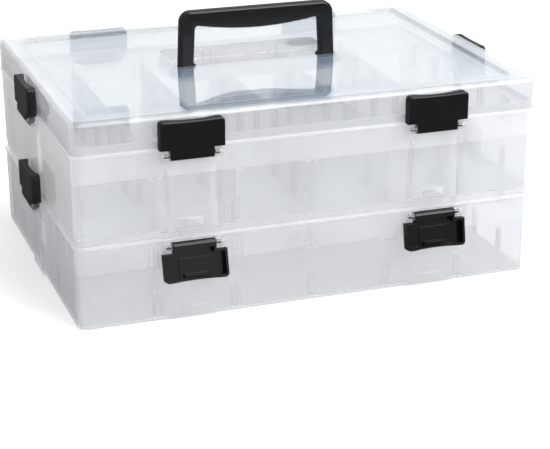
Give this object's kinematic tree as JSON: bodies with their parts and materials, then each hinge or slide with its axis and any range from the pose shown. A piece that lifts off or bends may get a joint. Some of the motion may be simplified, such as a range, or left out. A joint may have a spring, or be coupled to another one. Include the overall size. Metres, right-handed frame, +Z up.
{
  "type": "art supply box",
  "caption": "Stackable clear storage box in two tiers with a lid, folding carry handle and dark snap latches all round.",
  "frame": {"origin": "middle of the flat face that the lower tray rests on", "axes": "+Z up, -Y towards the front with the open latches, +X to the right, along the longest side"},
  "size_m": [0.399, 0.2997, 0.2085],
  "materials": {
    "clear_shell": "clear, slightly milky, glossy",
    "clear_divider": "clear, slightly milky",
    "black_plastic": "satin black with fine moulded grain"
  },
  "bodies": {
    "lower_tray": {"lower_tray": "clear_shell"},
    "upper_tray": {"upper_tray": "clear_shell"},
    "lid": {"lid": "clear_shell"},
    "handle": {"handle": "black_plastic"},
    "lower_latch_front_left": {"lower_latch_front_left": "black_plastic"},
    "lower_latch_front_right": {"lower_latch_front_right": "black_plastic"},
    "lower_latch_back_left": {"lower_latch_back_left": "black_plastic"},
    "lower_latch_back_right": {"lower_latch_back_right": "black_plastic"},
    "lower_latch_left": {"lower_latch_left": "black_plastic"},
    "lower_latch_right": {"lower_latch_right": "black_plastic"},
    "upper_latch_front_left": {"upper_latch_front_left": "black_plastic"},
    "upper_latch_front_right": {"upper_latch_front_right": "black_plastic"},
    "upper_latch_back_left": {"upper_latch_back_left": "black_plastic"},
    "upper_latch_back_right": {"upper_latch_back_right": "black_plastic"},
    "upper_latch_left": {"upper_latch_left": "black_plastic"},
    "upper_latch_right": {"upper_latch_right": "black_plastic"},
    "divider_1": {"divider_1": "clear_divider"},
    "divider_2": {"divider_2": "clear_divider"},
    "divider_3": {"divider_3": "clear_divider"},
    "divider_4": {"divider_4": "clear_divider"},
    "divider_5": {"divider_5": "clear_divider"}
  },
  "joints": [
    {"name": "tray_lift", "type": "slide", "parent": "lower_tray", "child": "upper_tray", "axis": [0, 0, 1], "range_m": [0, 0.03]},
    {"name": "lid_lift", "type": "slide", "parent": "upper_tray", "child": "lid", "axis": [0, 0, 1], "range_m": [0, 0.03]},
    {"name": "handle_fold", "type": "hinge", "parent": "lid", "child": "handle", "pos_m": [0, 0, 0.158], "axis": [1, 0, 0], "range_deg": [-90, 0]},
    {"name": "lower_latch_front_left_swing", "type": "hinge", "parent": "lower_tray", "child": "lower_latch_front_left", "pos_m": [-0.1, -0.1426, 0.0625], "axis": [1, 0, 0], "range_deg": [-165, 9]},
    {"name": "lower_latch_front_right_swing", "type": "hinge", "parent": "lower_tray", "child": "lower_latch_front_right", "pos_m": [0.1, -0.1426, 0.0625], "axis": [1, 0, 0], "range_deg": [-170, 4]},
    {"name": "lower_latch_back_left_swing", "type": "hinge", "parent": "lower_tray", "child": "lower_latch_back_left", "pos_m": [-0.1, 0.1426, 0.0625], "axis": [-1, 0, 0], "range_deg": [0, 174]},
    {"name": "lower_latch_back_right_swing", "type": "hinge", "parent": "lower_tray", "child": "lower_latch_back_right", "pos_m": [0.1, 0.1426, 0.0625], "axis": [-1, 0, 0], "range_deg": [0, 174]},
    {"name": "lower_latch_left_swing", "type": "hinge", "parent": "lower_tray", "child": "lower_latch_left", "pos_m": [-0.1956, 0, 0.0625], "axis": [0, -1, 0], "range_deg": [0, 174]},
    {"name": "lower_latch_right_swing", "type": "hinge", "parent": "lower_tray", "child": "lower_latch_right", "pos_m": [0.1956, 0, 0.0625], "axis": [0, 1, 0], "range_deg": [0, 174]},
    {"name": "upper_latch_front_left_swing", "type": "hinge", "parent": "upper_tray", "child": "upper_latch_front_left", "pos_m": [-0.1, -0.1426, 0.1349], "axis": [1, 0, 0], "range_deg": [0, 174]},
    {"name": "upper_latch_front_right_swing", "type": "hinge", "parent": "upper_tray", "child": "upper_latch_front_right", "pos_m": [0.1, -0.1426, 0.1349], "axis": [1, 0, 0], "range_deg": [0, 174]},
    {"name": "upper_latch_back_left_swing", "type": "hinge", "parent": "upper_tray", "child": "upper_latch_back_left", "pos_m": [-0.1, 0.1426, 0.1349], "axis": [-1, 0, 0], "range_deg": [0, 174]},
    {"name": "upper_latch_back_right_swing", "type": "hinge", "parent": "upper_tray", "child": "upper_latch_back_right", "pos_m": [0.1, 0.1426, 0.1349], "axis": [-1, 0, 0], "range_deg": [0, 174]},
    {"name": "upper_latch_left_swing", "type": "hinge", "parent": "upper_tray", "child": "upper_latch_left", "pos_m": [-0.1956, 0, 0.1349], "axis": [0, -1, 0], "range_deg": [0, 174]},
    {"name": "upper_latch_right_swing", "type": "hinge", "parent": "upper_tray", "child": "upper_latch_right", "pos_m": [0.1956, 0, 0.1349], "axis": [0, 1, 0], "range_deg": [0, 174]},
    {"name": "divider_1_lift", "type": "slide", "parent": "upper_tray", "child": "divider_1", "axis": [0, 0, 1], "range_m": [0, 0.008]},
    {"name": "divider_2_lift", "type": "slide", "parent": "upper_tray", "child": "divider_2", "axis": [0, 0, 1], "range_m": [0, 0.008]},
    {"name": "divider_3_lift", "type": "slide", "parent": "upper_tray", "child": "divider_3", "axis": [0, 0, 1], "range_m": [0, 0.008]},
    {"name": "divider_4_lift", "type": "slide", "parent": "upper_tray", "child": "divider_4", "axis": [0, 0, 1], "range_m": [0, 0.008]},
    {"name": "divider_5_lift", "type": "slide", "parent": "upper_tray", "child": "divider_5", "axis": [0, 0, 1], "range_m": [0, 0.008]}
  ],
  "couplings": [
    {"joint": "lower_latch_back_left_swing", "follows": "tray_lift", "rad_per_m": 95.993},
    {"joint": "lower_latch_back_right_swing", "follows": "tray_lift", "rad_per_m": 95.993},
    {"joint": "lower_latch_left_swing", "follows": "tray_lift", "rad_per_m": 95.993},
    {"joint": "lower_latch_right_swing", "follows": "tray_lift", "rad_per_m": 95.993},
    {"joint": "upper_latch_front_left_swing", "follows": "lid_lift", "rad_per_m": 95.993},
    {"joint": "upper_latch_front_right_swing", "follows": "lid_lift", "rad_per_m": 95.993},
    {"joint": "upper_latch_back_left_swing", "follows": "lid_lift", "rad_per_m": 95.993},
    {"joint": "upper_latch_back_right_swing", "follows": "lid_lift", "rad_per_m": 95.993},
    {"joint": "upper_latch_left_swing", "follows": "lid_lift", "rad_per_m": 95.993},
    {"joint": "upper_latch_right_swing", "follows": "lid_lift", "rad_per_m": 95.993}
  ]
}
